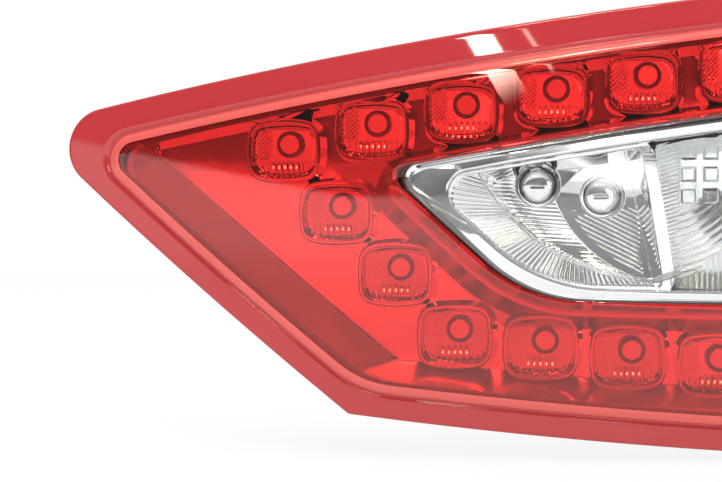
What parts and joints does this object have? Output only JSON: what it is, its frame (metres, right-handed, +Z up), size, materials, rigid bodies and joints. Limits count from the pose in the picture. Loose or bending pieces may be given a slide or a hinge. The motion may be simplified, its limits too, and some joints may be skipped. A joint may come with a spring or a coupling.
{
  "type": "tail light cluster",
  "caption": "Car tail light cluster: domed red lens with a clear window, bright pockets with clear optics, bulb chamber, and a sealed housing held by studs.",
  "frame": {"origin": "midway between the two mounting studs, on the plane of the car panel", "axes": "+X along the lamp towards its blunt end, +Y out of the back along the studs, +Z up; the lens faces -Y"},
  "size_m": [0.3303, 0.104, 0.1744],
  "materials": {
    "red_lens": "polished transparent red",
    "clear_lens": "polished clear",
    "seal_rubber": "matt",
    "bright_chrome": "mirror bright vacuum metal on plastic",
    "dark_chrome": "smoked vacuum metal on plastic",
    "reflector_metal": "mirror bright vacuum metal on plastic",
    "clear_optic": "polished clear",
    "board_laminate": "solder mask",
    "led_phosphor": "cast resin",
    "screw_steel": "zinc plated",
    "stud_steel": "zinc plated",
    "housing_plastic": "fine moulded grain",
    "gasket_foam": "closed-cell foam",
    "terminal_brass": "tinned",
    "bulb_glass": "clear",
    "filament_metal": "drawn wire",
    "holder_plastic": "moulded"
  },
  "bodies": {
    "root": {"bezel_screws": "screw_steel", "board_screws": "screw_steel", "body_gasket": "gasket_foam", "breather_cap": "seal_rubber", "chrome_bezel": "bright_chrome", "clear_window": "clear_lens", "connector_pins": "terminal_brass", "led_board": "board_laminate", "led_chips": "led_phosphor", "led_optic_01": "clear_optic", "led_optic_02": "clear_optic", "led_optic_03": "clear_optic", "led_optic_04": "clear_optic", "led_optic_05": "clear_optic", "led_optic_06": "clear_optic", "led_optic_07": "clear_optic", "led_optic_08": "clear_optic", "led_optic_09": "clear_optic", "led_optic_10": "clear_optic", "led_optic_11": "clear_optic", "led_optic_12": "clear_optic", "led_optic_13": "clear_optic", "led_optic_14": "clear_optic", "lens_seal": "seal_rubber", "mount_studs": "stud_steel", "rear_housing": "housing_plastic", "red_outer_lens": "red_lens", "reflector_screws": "screw_steel", "reverse_bulb_filament": "filament_metal", "reverse_bulb_glass": "bulb_glass", "reverse_bulb_holder": "holder_plastic", "reverse_holder_seal": "seal_rubber", "reverse_optic": "clear_optic", "reverse_reflector": "reflector_metal", "turn_1_bulb_filament": "filament_metal", "turn_1_bulb_glass": "bulb_glass", "turn_1_bulb_holder": "holder_plastic", "turn_1_holder_seal": "seal_rubber", "turn_2_bulb_filament": "filament_metal", "turn_2_bulb_glass": "bulb_glass", "turn_2_bulb_holder": "holder_plastic", "turn_2_holder_seal": "seal_rubber", "turn_reflector": "reflector_metal", "window_bezel": "dark_chrome"}
  },
  "joints": []
}
